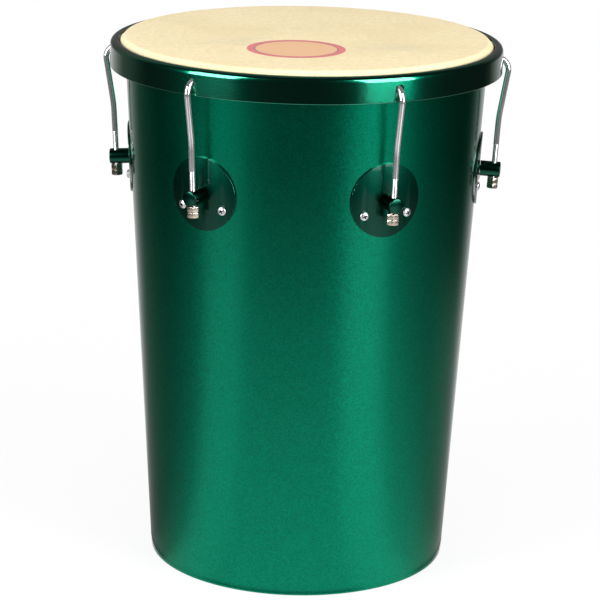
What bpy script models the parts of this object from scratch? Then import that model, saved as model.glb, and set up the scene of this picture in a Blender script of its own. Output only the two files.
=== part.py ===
"""A rebolo drum: a tapered metal shell with a skin head, a counter hoop and six hook rods.

The drum's axis is Z and its foot stands on z = 0. All sizes are in metres.
Angles round the drum are measured from the front, which faces -Y, and grow towards +X.
"""

import math

import bmesh
import bpy
from mathutils import Matrix, Vector

# Shell: a 12 inch head on a shell 450 mm tall that narrows to about 10 inches
SHELL_HEIGHT = 0.4495
SHELL_TOP_RADIUS = 0.1524
SHELL_FOOT_RADIUS = 0.1277
SHELL_WALL = 0.0015
BEARING_BEAD = 0.0036
FOOT_ROLL_WIDTH = 0.0030
FOOT_ROLL_HEIGHT = 0.0035
FOOT_ROUNDING = 0.0008

# Head: skin over the bearing edge, lapped round the flesh hoop
SKIN = 0.0007
SKIN_FLAT_RADIUS = 0.1506
SKIN_BEND_RADIUS = 0.0025
SKIN_LAP_END = -120.0
FLESH_HOOP_RADIUS = 0.1556
FLESH_HOOP_HEIGHT = 0.4412
FLESH_HOOP_THICKNESS = 0.0052

# Counter hoop: an angle section with a rounded shoulder and a lip
HOOP_OUTER_RADIUS = 0.1643
HOOP_LIP_RADIUS = 0.1573
HOOP_TOP = 0.4474
HOOP_BOTTOM = 0.4257
HOOP_WALL = 0.0020
HOOP_SHOULDER = 0.0045
HOOP_EDGE = 0.0005

# Lugs: six, each a plate curved to the shell with a cross-drilled post
LUG_COUNT = 6
FIRST_LUG_ANGLE = -33.4
LUG_HEIGHT = 0.3430
PLATE_RADIUS = 0.0305
PLATE_THICKNESS = 0.0015
PLATE_SLEEVE_REACH = 0.0366
POST_RADIUS = 0.0065
POST_END = 0.0196
POST_CHAMFER = 0.0010
POST_BOLT_DEPTH = 0.0070

# Hook rods: kinked wire, bent over at the top into the counter hoop
ROD_RADIUS = 0.0024
ROD_STANDOFF = 0.0137
ROD_KINK = 0.0450
ROD_BEND_RADIUS = 0.0105
ROD_OFF_HOOP = 0.0047
ROD_TIP_RADIUS = 0.1600
ROD_END_BEYOND_NUT = 0.0006
HOOK_HOLE_RADIUS = 0.0037
HOOK_HOLE_HEIGHT = 0.4363
POST_HOLE_RADIUS = 0.0032

# Nuts under the posts
NUT_FLATS = 0.0090
NUT_HEIGHT = 0.0045
NUT_BORE_RADIUS = 0.0030

# Self-tapping screws of the plates, placed from the plate's centre
SCREW_SPREAD = 0.0190
SCREW_DROP = 0.0114
SCREW_HEAD_RADIUS = 0.0036
SCREW_HEAD_HEIGHT = 0.0022
SCREW_RIM_HEIGHT = 0.0008
SCREW_CROWN_RADIUS = 0.0022
SCREW_CROWN_HEIGHT = 0.0019
SCREW_RADIUS = 0.0019
SCREW_SHANK = 0.0050
SCREW_REACH = 0.0070
SCREW_HOLE_RADIUS = 0.0023

# Bolts that hold the posts from inside the shell
BOLT_RADIUS = 0.0024
BOLT_HOLE_RADIUS = 0.0029
BOLT_HEAD_FLATS = 0.0080
BOLT_HEAD_HEIGHT = 0.0035
WASHER_RADIUS = 0.0065
WASHER_THICKNESS = 0.0010

# Play between pieces that touch, and the extra play of a flat washer in the round shell
GAP = 0.0003
INNER_GAP = 0.0005

# Flats round each turned ring, round small turned pieces and round drilled holes
RING_FLATS = 60
POST_FLATS = 16
SMALL_FLATS = 10
HOLE_FLATS = 12
PLATE_FLATS = 28
FLESH_HOOP_FLATS = 6
ROD_BEVEL_STEPS = 2
MERGE = 0.00001

# Points on each rounded stretch of an outline, and the angle that stays a sharp edge
BEAD_POINTS = 4
FOOT_POINTS = 3
SHOULDER_POINTS = 5
INNER_SHOULDER_POINTS = 3
SKIN_BEND_POINTS = 3
SKIN_LAP_POINTS = 6
HOOK_POINTS = 8
SHARP_ANGLE = 35.0

TAPER = (SHELL_TOP_RADIUS - SHELL_FOOT_RADIUS) / SHELL_HEIGHT
LEAN = math.atan(TAPER)
PLATE_FACE = GAP + PLATE_THICKNESS
LUG_STEP = 360.0 / LUG_COUNT


def shell_radius(height):
    """Outer radius of the shell at a height."""
    return SHELL_FOOT_RADIUS + TAPER * height


def clear_scene():
    for item in list(bpy.data.objects):
        bpy.data.objects.remove(item)


def new_collection(name):
    collection = bpy.data.collections.new(name)
    bpy.context.scene.collection.children.link(collection)
    return collection


def new_material(name, colour, roughness, metallic):
    material = bpy.data.materials.new(name)
    material.use_nodes = True
    shader = material.node_tree.nodes["Principled BSDF"]
    shader.inputs["Base Color"].default_value = (*colour, 1.0)
    shader.inputs["Roughness"].default_value = roughness
    shader.inputs["Metallic"].default_value = metallic
    return material


def add_object(name, data, collection, matrix=Matrix()):
    piece = bpy.data.objects.new(name, data)
    collection.objects.link(piece)
    piece.matrix_world = matrix
    return piece


def add_part(name, data, material, matrix=Matrix(), parent=None):
    """Put a finished piece in the drum's collection, with its own material."""
    piece = add_object(name, data, parts, matrix)
    if not data.materials:
        data.materials.append(material)
    piece.parent = parent
    return piece


def arc(centre, radius, start, end, points):
    """Points on an arc, as (radius, height), from one angle in degrees to another."""
    turns = [math.radians(start + (end - start) * i / (points - 1)) for i in range(points)]
    return [(centre[0] + radius * math.cos(t), centre[1] + radius * math.sin(t)) for t in turns]


def turned(name, outline, flats, closed):
    """A solid of revolution about Z. The outline runs down the outer side."""
    count = len(outline)
    edges = [(i, i + 1) for i in range(count - 1)]
    if closed:
        edges.append((count - 1, 0))
    mesh = bpy.data.meshes.new(name)
    mesh.from_pydata([(radius, 0.0, height) for radius, height in outline], edges, [])
    piece = add_object(name, mesh, cutters)
    screw = piece.modifiers.new("turn", "SCREW")
    screw.axis = "Z"
    screw.steps = flats
    screw.render_steps = flats
    screw.use_merge_vertices = True
    screw.merge_threshold = MERGE
    return piece


def rod_cutter(name, radius, low, high, flats, matrix=Matrix()):
    """A round bar along its own Z from low to high."""
    mesh = bpy.data.meshes.new(name)
    shape = bmesh.new()
    bmesh.ops.create_cone(shape, cap_ends=True, segments=flats, radius1=radius, radius2=radius,
                          depth=high - low)
    bmesh.ops.translate(shape, verts=shape.verts, vec=(0.0, 0.0, (high + low) / 2))
    shape.to_mesh(mesh)
    shape.free()
    return add_object(name, mesh, cutters, matrix)


def hidden(cutter):
    cutter.hide_render = True
    cutter.display_type = "WIRE"
    return cutter


def cut(piece, cutter, operation="DIFFERENCE"):
    boolean = piece.modifiers.new("cut", "BOOLEAN")
    boolean.operation = operation
    boolean.solver = "EXACT"
    boolean.object = hidden(cutter)


def finished(piece, used=()):
    """The piece's mesh after its modifiers, shaded smooth. The working objects go."""
    bpy.context.view_layer.update()
    graph = bpy.context.evaluated_depsgraph_get()
    mesh = bpy.data.meshes.new_from_object(piece.evaluated_get(graph))
    mesh.transform(piece.matrix_world)
    mesh.shade_smooth()
    mesh.set_sharp_from_angle(angle=math.radians(SHARP_ANGLE))
    mesh.name = piece.name
    for item in (piece, *used):
        bpy.data.objects.remove(item)
    return mesh


def round_drum(angle):
    """A turn about the drum's axis that takes +X to an angle measured from the front."""
    return Matrix.Rotation(math.radians(angle - 90.0), 4, "Z")


def lug_angle(index):
    return FIRST_LUG_ANGLE + LUG_STEP * index


def on_shell(height, turn=0.0):
    """Axes on the shell's surface beside +X: local Z points out of it, local X up along it."""
    outward = Vector((math.cos(LEAN), 0.0, -math.sin(LEAN)))
    up = Vector((math.sin(LEAN), 0.0, math.cos(LEAN)))
    side = outward.cross(up)
    axes = Matrix((up, side, outward)).transposed().to_4x4()
    axes.translation = (shell_radius(height), 0.0, height)
    return Matrix.Rotation(turn, 4, "Z") @ axes


def along_rod(distance):
    """Axes on the rod's lower stretch beside +X: local Z runs up the rod."""
    lug = on_shell(LUG_HEIGHT)
    place = lug @ Matrix.Translation((distance, 0.0, ROD_STANDOFF))
    return place @ Matrix.Rotation(math.radians(90), 4, "Y")


def screw_places():
    """Where the two plate screws stand, beside +X."""
    turn = SCREW_SPREAD / shell_radius(LUG_HEIGHT)
    height = LUG_HEIGHT - SCREW_DROP * math.cos(LEAN)
    return [on_shell(height, side * turn) for side in (-1, 1)]


# Shell

def shell_outline():
    """Down the outside, across the rolled foot, up the inside and over the bearing edge."""
    bead = BEARING_BEAD / 2
    crest = (SHELL_TOP_RADIUS - bead, SHELL_HEIGHT - bead)
    foot_corner = (SHELL_FOOT_RADIUS - FOOT_ROUNDING, FOOT_ROUNDING)
    roll = SHELL_FOOT_RADIUS - FOOT_ROLL_WIDTH
    roll_top = 2 * FOOT_ROLL_HEIGHT
    neck = SHELL_HEIGHT - BEARING_BEAD - SHELL_WALL
    points = arc(crest, bead, 90, 0, BEAD_POINTS)
    points += arc(foot_corner, FOOT_ROUNDING, 0, -90, FOOT_POINTS)
    points += [(roll, 0.0), (roll, FOOT_ROLL_HEIGHT)]
    points += [(shell_radius(roll_top) - SHELL_WALL, roll_top)]
    points += [(shell_radius(neck) - SHELL_WALL, neck)]
    points += arc(crest, bead, 180, 90, BEAD_POINTS)[:-1]
    return points


def make_shell():
    drilled = []
    for index in range(LUG_COUNT):
        turn = round_drum(lug_angle(index))
        drilled.append((BOLT_HOLE_RADIUS, turn @ on_shell(LUG_HEIGHT)))
        drilled += [(SCREW_HOLE_RADIUS, turn @ place) for place in screw_places()]
    reach = 4 * SHELL_WALL
    shape = bmesh.new()
    for radius, place in drilled:
        bmesh.ops.create_cone(shape, cap_ends=True, segments=HOLE_FLATS, radius1=radius,
                              radius2=radius, depth=2 * reach, matrix=place)
    mesh = bpy.data.meshes.new("shell_holes")
    shape.to_mesh(mesh)
    shape.free()
    holes = add_object("shell_holes", mesh, cutters)
    shell = turned("shell", shell_outline(), RING_FLATS, closed=True)
    shell.matrix_world = round_drum(lug_angle(0))
    cut(shell, holes)
    add_part("shell", finished(shell, [holes]), green_shell)


# Counter hoop

def hoop_outline():
    centre = (HOOP_OUTER_RADIUS - HOOP_SHOULDER, HOOP_TOP - HOOP_SHOULDER)
    inner = HOOP_OUTER_RADIUS - HOOP_WALL
    lip_flat = HOOP_LIP_RADIUS + HOOP_EDGE
    points = [(lip_flat, HOOP_TOP)]
    points += arc(centre, HOOP_SHOULDER, 90, 0, SHOULDER_POINTS)
    points += [(HOOP_OUTER_RADIUS, HOOP_BOTTOM + HOOP_EDGE)]
    points += [(HOOP_OUTER_RADIUS - HOOP_EDGE, HOOP_BOTTOM)]
    points += [(inner, HOOP_BOTTOM)]
    points += arc(centre, HOOP_SHOULDER - HOOP_WALL, 0, 90, INNER_SHOULDER_POINTS)
    points += [(lip_flat, HOOP_TOP - HOOP_WALL)]
    points += [(HOOP_LIP_RADIUS, HOOP_TOP - HOOP_WALL + HOOP_EDGE)]
    points += [(HOOP_LIP_RADIUS, HOOP_TOP - HOOP_EDGE)]
    return points


def make_counter_hoop(carrier):
    shape = bmesh.new()
    for index in range(LUG_COUNT):
        place = round_drum(lug_angle(index))
        place = place @ Matrix.Translation((HOOP_OUTER_RADIUS, 0.0, HOOK_HOLE_HEIGHT))
        place = place @ Matrix.Rotation(math.radians(90), 4, "Y")
        bmesh.ops.create_cone(shape, cap_ends=True, segments=HOLE_FLATS, radius1=HOOK_HOLE_RADIUS,
                              radius2=HOOK_HOLE_RADIUS, depth=4 * HOOP_WALL, matrix=place)
    mesh = bpy.data.meshes.new("hook_holes")
    shape.to_mesh(mesh)
    shape.free()
    holes = add_object("hook_holes", mesh, cutters)
    hoop = turned("counter_hoop", hoop_outline(), RING_FLATS, closed=True)
    hoop.matrix_world = round_drum(lug_angle(0))
    cut(hoop, holes)
    add_part("counter_hoop", finished(hoop, [holes]), green_hoop, parent=carrier)


# Flesh hoop and skin

def make_flesh_hoop(carrier):
    bpy.ops.mesh.primitive_torus_add(major_segments=RING_FLATS,
                                     minor_segments=FLESH_HOOP_FLATS,
                                     major_radius=FLESH_HOOP_RADIUS,
                                     minor_radius=FLESH_HOOP_THICKNESS / 2)
    ring = bpy.context.object
    mesh = ring.data
    bpy.data.objects.remove(ring)
    mesh.shade_smooth()
    place = round_drum(lug_angle(0)) @ Matrix.Translation((0.0, 0.0, FLESH_HOOP_HEIGHT))
    add_part("flesh_hoop", mesh, plated_steel, place, carrier)


def skin_side(shift):
    """One face of the skin, as (radius, height), shifted outwards from its middle.

    It runs flat from the axis, bends over the bearing edge, goes straight down to the flesh
    hoop and laps round it.
    """
    middle = SHELL_HEIGHT + GAP + SKIN / 2
    edge_centre = Vector((SKIN_FLAT_RADIUS, middle - SKIN_BEND_RADIUS))
    lap_centre = Vector((FLESH_HOOP_RADIUS, FLESH_HOOP_HEIGHT))
    lap_radius = FLESH_HOOP_THICKNESS / 2 + GAP + SKIN / 2
    step = lap_centre - edge_centre
    leave = math.degrees(math.atan2(step.y, step.x)
                         + math.acos((SKIN_BEND_RADIUS - lap_radius) / step.length))
    side = [(0.0, middle + shift)]
    side += arc(edge_centre, SKIN_BEND_RADIUS + shift, 90, leave, SKIN_BEND_POINTS)
    side += arc(lap_centre, lap_radius + shift, leave, SKIN_LAP_END, SKIN_LAP_POINTS)
    return side


def make_drumhead(carrier):
    outline = skin_side(SKIN / 2) + skin_side(-SKIN / 2)[::-1]
    head = turned("drumhead", outline, RING_FLATS, closed=False)
    head.matrix_world = round_drum(lug_angle(0))
    add_part("drumhead", finished(head), natural_skin, parent=carrier)


# Hook rods

def hook_centre():
    """The (radius, height) that the hook bends round, with the rod just over its hole's low edge."""
    radius = HOOP_OUTER_RADIUS + ROD_OFF_HOOP - ROD_BEND_RADIUS
    inside = ROD_BEND_RADIUS - ROD_RADIUS
    rise = math.sqrt(inside ** 2 - (HOOP_OUTER_RADIUS - radius) ** 2)
    return Vector((radius, HOOK_HOLE_HEIGHT - HOOK_HOLE_RADIUS + GAP - rise))


def rod_path():
    """The rod's middle line beside +X, from its lower end to the tip inside the hoop."""
    nuts = 2 * (GAP + NUT_HEIGHT)
    end = along_rod(-(POST_RADIUS + nuts + ROD_END_BEYOND_NUT)).translation
    kink = along_rod(ROD_KINK).translation
    centre = hook_centre()
    step = Vector((kink.x, kink.z)) - centre
    meet = math.degrees(math.atan2(step.y, step.x) + math.acos(ROD_BEND_RADIUS / step.length))
    tip = math.degrees(math.acos((ROD_TIP_RADIUS - centre.x) / ROD_BEND_RADIUS))
    bend = arc(centre, ROD_BEND_RADIUS, meet, tip, HOOK_POINTS)
    path = [(end.x, end.z), (kink.x, kink.z), *bend]
    return [(radius, 0.0, height) for radius, height in path]


def make_hook_rods(carrier):
    points = rod_path()
    curve = bpy.data.curves.new("hook_rod", "CURVE")
    curve.dimensions = "3D"
    curve.bevel_depth = ROD_RADIUS
    curve.bevel_resolution = ROD_BEVEL_STEPS
    curve.use_fill_caps = True
    spline = curve.splines.new("POLY")
    spline.points.add(len(points) - 1)
    for point, place in zip(spline.points, points):
        point.co = (*place, 1.0)
    for index in range(LUG_COUNT):
        add_part(f"hook_rod_{index + 1}", curve, chrome, round_drum(lug_angle(index)), carrier)


# Nuts

def nut_mesh(name, flats, height, bore):
    """A hexagonal nut centred on its own origin, with its bore along Z."""
    corner = flats / 2 / math.cos(math.radians(30))
    nut = rod_cutter(name, corner, -height / 2, height / 2, 6)
    hole = rod_cutter("nut_bore", bore, -height, height, HOLE_FLATS)
    cut(nut, hole)
    mesh = finished(nut, [hole])
    mesh.shade_flat()
    return mesh


def make_rod_nuts():
    mesh = nut_mesh("rod_nut", NUT_FLATS, NUT_HEIGHT, NUT_BORE_RADIUS)
    first = -(POST_RADIUS + GAP + NUT_HEIGHT / 2)
    second = first - GAP - NUT_HEIGHT
    for name, distance in (("tuning_nut", first), ("lock_nut", second)):
        for index in range(LUG_COUNT):
            place = round_drum(lug_angle(index)) @ along_rod(distance)
            add_part(f"{name}_{index + 1}", mesh, nickel, place)


# Lug plates and posts

def make_lug_plates():
    """Round plates, cut out of a sleeve that follows the shell."""
    low = LUG_HEIGHT - PLATE_SLEEVE_REACH
    high = LUG_HEIGHT + PLATE_SLEEVE_REACH
    sleeve = [(shell_radius(high) + PLATE_FACE, high), (shell_radius(low) + PLATE_FACE, low),
              (shell_radius(low) + GAP, low), (shell_radius(high) + GAP, high)]
    plate = turned("lug_plate", sleeve, RING_FLATS, closed=True)
    middle = on_shell(LUG_HEIGHT)
    disc = rod_cutter("plate_disc", PLATE_RADIUS, -PLATE_RADIUS / 2, PLATE_RADIUS / 2,
                      PLATE_FLATS, middle)
    holes = [rod_cutter("plate_hole", radius, -PLATE_RADIUS, PLATE_RADIUS, HOLE_FLATS, place)
             for radius, place in ((BOLT_HOLE_RADIUS, middle),
                                   *((SCREW_HOLE_RADIUS, place) for place in screw_places()))]
    cut(plate, disc, "INTERSECT")
    for hole in holes:
        cut(plate, hole)
    mesh = finished(plate, [disc, *holes])
    for index in range(LUG_COUNT):
        add_part(f"lug_plate_{index + 1}", mesh, green_lug, round_drum(lug_angle(index)))


def make_lug_posts():
    """Posts with a chamfered end, a blind hole for the bolt and a cross hole for the rod."""
    base = PLATE_FACE + GAP
    floor = base + POST_BOLT_DEPTH
    outline = [(0.0, POST_END), (POST_RADIUS - POST_CHAMFER, POST_END),
               (POST_RADIUS, POST_END - POST_CHAMFER), (POST_RADIUS, base),
               (BOLT_HOLE_RADIUS, base), (BOLT_HOLE_RADIUS, floor), (0.0, floor)]
    post = turned("lug_post", outline, POST_FLATS, closed=False)
    across = Matrix.Translation((0.0, 0.0, ROD_STANDOFF)) @ Matrix.Rotation(math.radians(90), 4, "Y")
    hole = rod_cutter("post_hole", POST_HOLE_RADIUS, -2 * POST_RADIUS, 2 * POST_RADIUS,
                      HOLE_FLATS, across)
    cut(post, hole)
    mesh = finished(post, [hole])
    for index in range(LUG_COUNT):
        place = round_drum(lug_angle(index)) @ on_shell(LUG_HEIGHT)
        add_part(f"lug_post_{index + 1}", mesh, green_post, place)


# Fasteners of the lugs

def add_at_lugs(name, mesh, material, places):
    """A copy of the piece at each of the places beside every lug."""
    spots = [round_drum(lug_angle(index)) @ place for index in range(LUG_COUNT) for place in places]
    for number, spot in enumerate(spots, start=1):
        add_part(f"{name}_{number}", mesh, material, spot)


def make_plate_screws():
    under = PLATE_FACE + GAP
    top = under + SCREW_HEAD_HEIGHT
    outline = [(0.0, top), (SCREW_CROWN_RADIUS, under + SCREW_CROWN_HEIGHT),
               (SCREW_HEAD_RADIUS, under + SCREW_RIM_HEIGHT), (SCREW_HEAD_RADIUS, under),
               (SCREW_RADIUS, under), (SCREW_RADIUS, -SCREW_SHANK), (0.0, -SCREW_REACH)]
    mesh = finished(turned("plate_screw", outline, SMALL_FLATS, closed=False))
    add_at_lugs("plate_screw", mesh, screw_chrome, screw_places())


def make_post_bolts():
    head_top = -(SHELL_WALL + INNER_GAP + WASHER_THICKNESS + GAP)
    corner = BOLT_HEAD_FLATS / 2 / math.cos(math.radians(30))
    bolt = rod_cutter("post_bolt", corner, head_top - BOLT_HEAD_HEIGHT, head_top, 6)
    tip = PLATE_FACE + GAP + POST_BOLT_DEPTH - 2 * GAP
    shank = rod_cutter("bolt_shank", BOLT_RADIUS, head_top - BOLT_HEAD_HEIGHT / 2, tip, SMALL_FLATS)
    cut(bolt, shank, "UNION")
    add_at_lugs("post_bolt", finished(bolt, [shank]), bolt_steel, [on_shell(LUG_HEIGHT)])


def make_post_washers():
    top = -(SHELL_WALL + INNER_GAP)
    low = top - WASHER_THICKNESS
    outline = [(WASHER_RADIUS, top), (WASHER_RADIUS, low), (BOLT_HOLE_RADIUS, low),
               (BOLT_HOLE_RADIUS, top)]
    mesh = finished(turned("post_washer", outline, HOLE_FLATS, closed=True))
    add_at_lugs("post_washer", mesh, washer_steel, [on_shell(LUG_HEIGHT)])


clear_scene()
parts = new_collection("rebolo_drum")
cutters = new_collection("cutters")

green_shell = new_material("shell_paint", (0.005, 0.17, 0.085), 0.25, 0.6)
green_hoop = new_material("hoop_paint", (0.003, 0.10, 0.055), 0.2, 0.6)
green_lug = new_material("plate_paint", (0.004, 0.09, 0.045), 0.2, 0.5)
green_post = new_material("post_paint", (0.004, 0.09, 0.045), 0.2, 0.5)
natural_skin = new_material("skin", (0.93, 0.83, 0.57), 0.55, 0.0)
chrome = new_material("rod_chrome", (0.80, 0.80, 0.82), 0.12, 1.0)
screw_chrome = new_material("screw_chrome", (0.80, 0.80, 0.82), 0.18, 1.0)
nickel = new_material("nut_nickel", (0.55, 0.47, 0.36), 0.3, 1.0)
plated_steel = new_material("flesh_hoop_steel", (0.55, 0.55, 0.55), 0.4, 1.0)
bolt_steel = new_material("bolt_steel", (0.55, 0.55, 0.55), 0.35, 1.0)
washer_steel = new_material("washer_steel", (0.62, 0.62, 0.60), 0.35, 1.0)

tension_ring = add_object("tension_ring", None, parts)

make_shell()
make_counter_hoop(tension_ring)
make_flesh_hoop(tension_ring)
make_drumhead(tension_ring)
make_hook_rods(tension_ring)
make_rod_nuts()
make_lug_plates()
make_lug_posts()
make_plate_screws()
make_post_bolts()
make_post_washers()
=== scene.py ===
# Looks of the rebolo drum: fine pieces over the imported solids, finishes, floor, lights and camera.
# Lengths are in metres, and the named turns in degrees.
import math

import bmesh
import bpy
from mathutils import Matrix, Vector


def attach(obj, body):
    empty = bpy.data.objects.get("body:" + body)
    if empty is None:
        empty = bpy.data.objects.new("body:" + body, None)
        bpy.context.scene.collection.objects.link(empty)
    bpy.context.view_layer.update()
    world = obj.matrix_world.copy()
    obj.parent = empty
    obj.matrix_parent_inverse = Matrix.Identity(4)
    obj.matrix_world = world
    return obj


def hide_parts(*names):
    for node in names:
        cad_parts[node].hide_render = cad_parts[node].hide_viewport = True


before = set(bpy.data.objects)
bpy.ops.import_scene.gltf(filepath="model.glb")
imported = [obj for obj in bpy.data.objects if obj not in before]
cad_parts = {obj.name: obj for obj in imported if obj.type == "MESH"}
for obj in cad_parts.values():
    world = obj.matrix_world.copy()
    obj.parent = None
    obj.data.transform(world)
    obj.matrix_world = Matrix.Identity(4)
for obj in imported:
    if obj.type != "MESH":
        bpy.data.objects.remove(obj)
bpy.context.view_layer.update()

# Shell
SHELL_HEIGHT = 0.4495
SHELL_TOP_RADIUS = 0.1524
SHELL_FOOT_RADIUS = 0.1277
SHELL_WALL = 0.0015
BEARING_BEAD = 0.0036
FOOT_ROLL_WIDTH = 0.0030
FOOT_ROLL_HEIGHT = 0.0035
FOOT_ROUNDING = 0.0008

# Head
SKIN = 0.0007
SKIN_FLAT_RADIUS = 0.1506
SKIN_BEND_RADIUS = 0.0025
SKIN_LAP_END = -120.0
SKIN_RINGS = 6
FLESH_HOOP_RADIUS = 0.1556
FLESH_HOOP_HEIGHT = 0.4412
FLESH_HOOP_THICKNESS = 0.0052

# Counter hoop
HOOP_OUTER_RADIUS = 0.1643
HOOP_LIP_RADIUS = 0.1573
HOOP_TOP = 0.4474
HOOP_BOTTOM = 0.4257
HOOP_WALL = 0.0020
HOOP_SHOULDER = 0.0045
HOOP_EDGE = 0.0006
HOOK_HOLE_RADIUS = 0.0037
HOOK_HOLE_HEIGHT = 0.4363

# Gaps: between any two pieces, and between the shell and the washers inside it
GAP = 0.0003
INNER_GAP = 0.0005

# Lugs. A plate's blank reaches SLEEVE_REACH above and below its middle, and the shell has an
# extra ring BAND_REACH above and below it. A plate's face counts as its rim where the cosine of
# its turn from the way the plate faces is at most RIM_FACING. The rim gets a lighter green as a
# painted highlight along the plate's edge.
LUGS = 6
FIRST_LUG = -123.4
LUG_HEIGHT = 0.3430
PLATE_RADIUS = 0.0305
PLATE_THICKNESS = 0.0015
PLATE_EDGE = 0.0007
PLATE_FACE = GAP + PLATE_THICKNESS
SLEEVE_REACH = 1.2 * PLATE_RADIUS
BAND_REACH = 1.3 * PLATE_RADIUS
RIM_FACING = 0.985
POST_RADIUS = 0.0065
POST_END = 0.0196
POST_CHAMFER = 0.0008
POST_CROWN = 0.0006
POST_HOLE_RADIUS = 0.0032
POST_BOLT_DEPTH = 0.0070

# Nuts, and the corners of bolt heads too. A corner is turned down by NUT_CHAMFER over
# NUT_CHAMFER_SPAN of half the width, and NUT_EDGE keeps that cut off the flats.
NUT_FLATS = 0.0090
NUT_HEIGHT = 0.0045
NUT_BORE_RADIUS = 0.0027
NUT_CHAMFER = 0.0008
NUT_CHAMFER_SPAN = 0.3
NUT_EDGE = 0.00012
NUT_ROUNDING = 0.0004

# Hook rods. Places along a rod are measured up it from its post's middle.
ROD_RADIUS = 0.0024
ROD_STANDOFF = 0.0137
ROD_KINK = 0.0450
ROD_KINK_ROUNDING = 0.0060
ROD_KINK_SPANS = 6
ROD_BEND_RADIUS = 0.0105
ROD_BEND_POINTS = 20
ROD_OFF_HOOP = 0.0047
ROD_TIP_RADIUS = 0.1600
ROD_END_BEYOND_NUT = 0.0006
ROD_BELOW_POST = POST_RADIUS + 2 * (GAP + NUT_HEIGHT) + ROD_END_BEYOND_NUT
ROD_END_CHAMFER = 0.0005
THREAD_TOP = 0.0219
THREAD_DEPTH = 0.00045
PITCH = 0.0008

# Plate screws. The cross is cut from CROSS_ABOVE over the head, narrows to CROSS_TIP_SPAN and
# CROSS_TIP_WIDTH of its size, and gets a dark finish as painted shade where it is CROSS_SUNK under
# the dome.
SCREW_SPREAD = 0.0190
SCREW_DROP = 0.0114
SCREW_HEAD_RADIUS = 0.0036
SCREW_HEAD_HEIGHT = 0.0022
SCREW_HEAD_RIM = 0.0007
SCREW_DOME_STEP = 10
SCREW_RADIUS = 0.0019
SCREW_REACH = 0.0070
SCREW_POINT = 0.0024
SCREW_TIP = 0.0002
SCREW_PITCH = 0.0012
SCREW_THREAD_DEPTH = 0.0004
SCREW_HOLE_RADIUS = 0.0023
CROSS_SPAN = 0.0046
CROSS_WIDTH = 0.0012
CROSS_DEPTH = 0.0015
CROSS_TIP_SPAN = 0.45
CROSS_TIP_WIDTH = 0.8
CROSS_ABOVE = 0.0004
CROSS_SUNK = 0.00015
CROSS_TURN = 25

# Bolts and washers inside the shell
BOLT_RADIUS = 0.0024
BOLT_HOLE_RADIUS = 0.0029
BOLT_HEAD_FLATS = 0.0080
BOLT_HEAD_HEIGHT = 0.0035
WASHER_RADIUS = 0.0065
WASHER_THICKNESS = 0.0010

# Printed rings on the skin, where the drum has a round label: a band, a line and a middle
LABEL_CENTRE = (-0.0085, -0.0600)
LABEL_RADIUS = 0.0403
LABEL_BAND = 0.0058
LABEL_LINE = 0.0011
LABEL_WEAR = 0.0016
BAND_INK = (0.62, 0.137, 0.168)
LINE_INK = (0.22, 0.18, 0.24)
MIDDLE_INK = (0.83, 0.51, 0.27)

# Colours of the hide, by the position in its clouds, and of its stains and specks. The painted
# shade beside the hoop's lip, where the lip shades the skin, starts and is full at these distances
# inside it.
HIDE_SHADES = [(0.30, (0.76, 0.63, 0.365)), (0.50, (0.82, 0.70, 0.44)),
               (0.72, (0.84, 0.73, 0.475))]
HIDE_STAIN = (0.60, 0.54, 0.38)
HIDE_SPECK = (0.69, 0.56, 0.36)
LIP_SHADE = (0.07, 0.05, 0.03)
LIP_SHADE_START = 0.0022
LIP_SHADE_FULL = 0.0010

# How far flakes tilt, and how deep fine marks and the skin's grain are taken to be
FLAKE_TILT = 0.15
FINE_RELIEF = 0.0001
GRAIN_RELIEF = 0.0002

# Fineness of the meshes
RING_STEPS = 288
PLATE_RING_STEPS = 2 * RING_STEPS
PLATE_STEPS = 96
SMALL_STEPS = 64
HOLE_STEPS = 48
ROD_STEPS = 28
SCREW_STEPS = 20
STATIONS_PER_TURN = 8
ARC_POINTS = 9
BEVEL_SEGMENTS = 3
BEVEL_ANGLE = 50.0
SHARP_ANGLE = 32.0
WELD = 0.000001

# Camera, with its focal length in pixels of the photograph's frame
CAMERA_PLACE = (0.0, -2.0997, 0.82635)
CAMERA_YAW = 0.03
CAMERA_PITCH = -16.09
CAMERA_ROLL = -1.24
FOCAL_PIXELS = 2538.0
FRAME_PIXELS = 600.0
SENSOR_WIDTH = 36.0

# Lamps: name, degrees round from the front, elevation, distance, width, height and watts
LAMP_AIM = (0.0, 0.0, 0.3)
LAMPS = [("left_box", -53, 20.2, 1.7, 0.87, 1.3, 26), ("right_box", 47, 19.6, 1.7, 0.90, 1.5, 30)]
WORLD_FILL = 0.71

# Floor: what sees it directly gets FLOOR_GLOW of its white under the drum and all of it far out
FLOOR_SIZE = 16.0
FLOOR_DROP = 0.0002
FLOOR_GREY = 0.85
FLOOR_GLOW = 0.86
FLOOR_FADE_START = 0.25
FLOOR_FADE_END = 0.9

# Dark room round the drum that only reflections show, and its faint glow, stronger behind
ROOM_START = 0.13
ROOM_REACH = 2.6
ROOM_HEIGHT = 2.4
ROOM_GLOW = 0.02
BACK_GLOW = 0.16
BACK_START = 110
BACK_FULL = 150

# Pool of light on the room's floor: its share falls from POOL_SHARE at the drum to nothing at
# POOL_END, and from all of that within POOL_FRONT of its direction to POOL_SIDE at POOL_BACK.
POOL_TURN = 10
POOL_SHARE = 0.83
POOL_SIDE = 0.30
POOL_FRONT = 40
POOL_BACK = 100
POOL_EDGE = 0.127
POOL_FULL = 0.137
POOL_END = 1.33

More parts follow.
